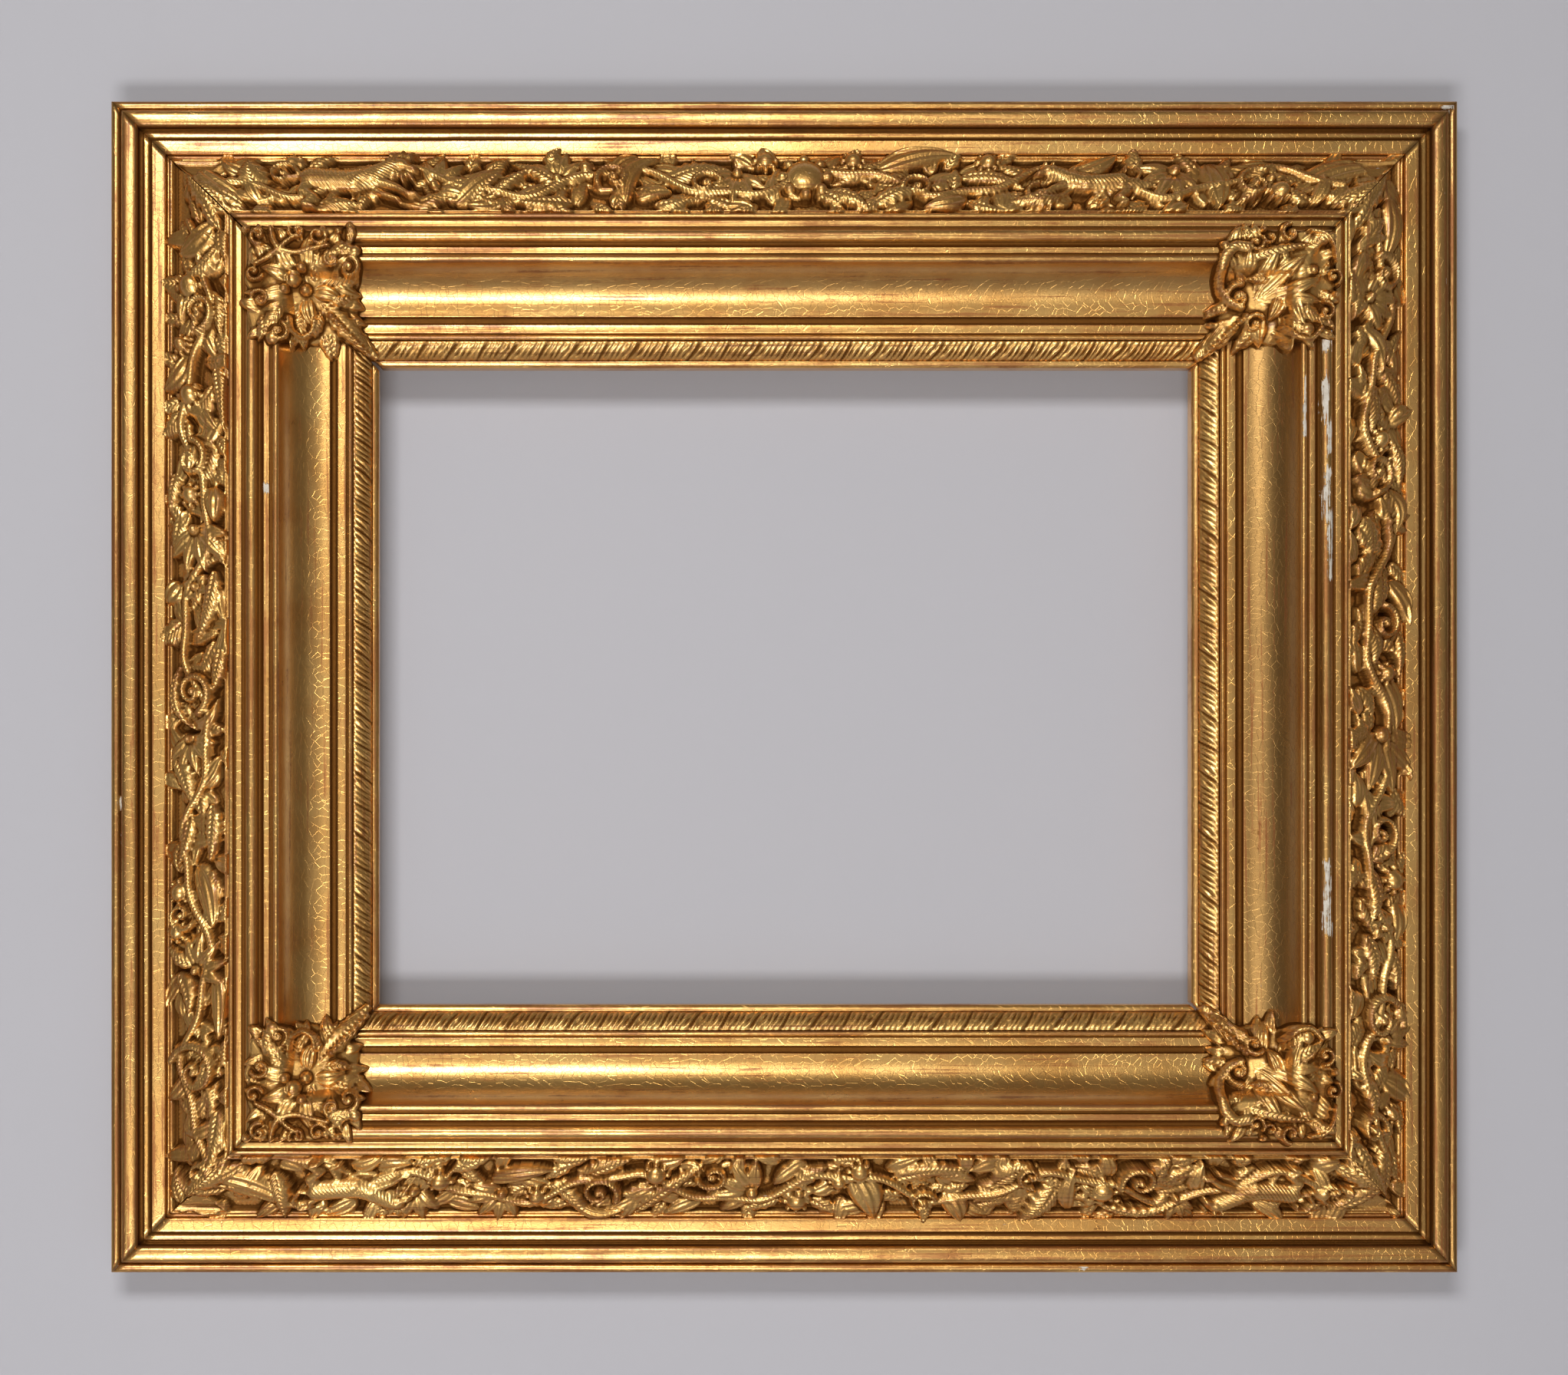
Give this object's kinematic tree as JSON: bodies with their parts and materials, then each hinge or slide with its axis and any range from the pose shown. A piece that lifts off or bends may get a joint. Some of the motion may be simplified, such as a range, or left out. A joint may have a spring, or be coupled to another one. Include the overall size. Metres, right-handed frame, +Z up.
{
  "type": "ornate gilded picture frame",
  "caption": "Wide landscape picture frame with stepped gilded mouldings, a carved frieze of animals and leaves, corner cartouches, a deep cove and a ribbon-and-stick sight edge.",
  "frame": {"origin": "centre of the frame on the plane of the wall it hangs on", "axes": "+X along the frame's width, +Y back towards the wall, +Z up; the carved front faces -Y"},
  "size_m": [0.6688, 0.0643, 0.5818],
  "materials": {
    "gilding": "water gilding over red bole and gesso, worn on the edges",
    "back_wood": "aged softwood, unfinished",
    "key_wood": "darker hardwood, planed flush",
    "brass_fittings": "dull brass",
    "screw_steel": "dull steel"
  },
  "bodies": {
    "frame": {"back_rail_top": "back_wood", "back_rail_bottom": "back_wood", "back_rail_left": "back_wood", "back_rail_right": "back_wood", "outer_moulding_top": "gilding", "outer_moulding_bottom": "gilding", "outer_moulding_left": "gilding", "outer_moulding_right": "gilding", "inner_moulding_top": "gilding", "inner_moulding_bottom": "gilding", "inner_moulding_left": "gilding", "inner_moulding_right": "gilding", "sight_ribbon_top": "gilding", "sight_ribbon_bottom": "gilding", "sight_ribbon_left": "gilding", "sight_ribbon_right": "gilding", "frieze_top": "gilding", "frieze_bottom": "gilding", "frieze_left": "gilding", "frieze_right": "gilding", "corner_cartouche_top_left": "gilding", "corner_cartouche_top_right": "gilding", "corner_cartouche_bottom_left": "gilding", "corner_cartouche_bottom_right": "gilding", "mitre_keys": "key_wood", "pivot_screws": "screw_steel", "hanger_strap_left": "brass_fittings", "hanger_strap_right": "brass_fittings", "hanger_screws": "screw_steel"},
    "turn_button_top": {"turn_button_top": "brass_fittings"},
    "turn_button_bottom": {"turn_button_bottom": "brass_fittings"},
    "turn_button_left": {"turn_button_left": "brass_fittings"},
    "turn_button_right": {"turn_button_right": "brass_fittings"},
    "hanger_ring_left": {"hanger_ring_left": "brass_fittings"},
    "hanger_ring_right": {"hanger_ring_right": "brass_fittings"}
  },
  "joints": [
    {"name": "hanger_ring_left_swing", "type": "hinge", "parent": "frame", "child": "hanger_ring_left", "pos_m": [-0.2702, -0.00234, 0.1409], "axis": [1, 0, 0], "range_deg": [0, 180]},
    {"name": "hanger_ring_right_swing", "type": "hinge", "parent": "frame", "child": "hanger_ring_right", "pos_m": [0.2702, -0.00234, 0.1409], "axis": [1, 0, 0], "range_deg": [0, 180]},
    {"name": "turn_button_top_turn", "type": "hinge", "parent": "frame", "child": "turn_button_top", "pos_m": [0, -0.00365, 0.1755], "axis": [0, 1, 0], "continuous": true},
    {"name": "turn_button_bottom_turn", "type": "hinge", "parent": "frame", "child": "turn_button_bottom", "pos_m": [0, -0.00365, -0.1755], "axis": [0, 1, 0], "continuous": true},
    {"name": "turn_button_left_turn", "type": "hinge", "parent": "frame", "child": "turn_button_left", "pos_m": [-0.219, -0.00365, 0], "axis": [0, 1, 0], "continuous": true},
    {"name": "turn_button_right_turn", "type": "hinge", "parent": "frame", "child": "turn_button_right", "pos_m": [0.219, -0.00365, 0], "axis": [0, 1, 0], "continuous": true}
  ]
}
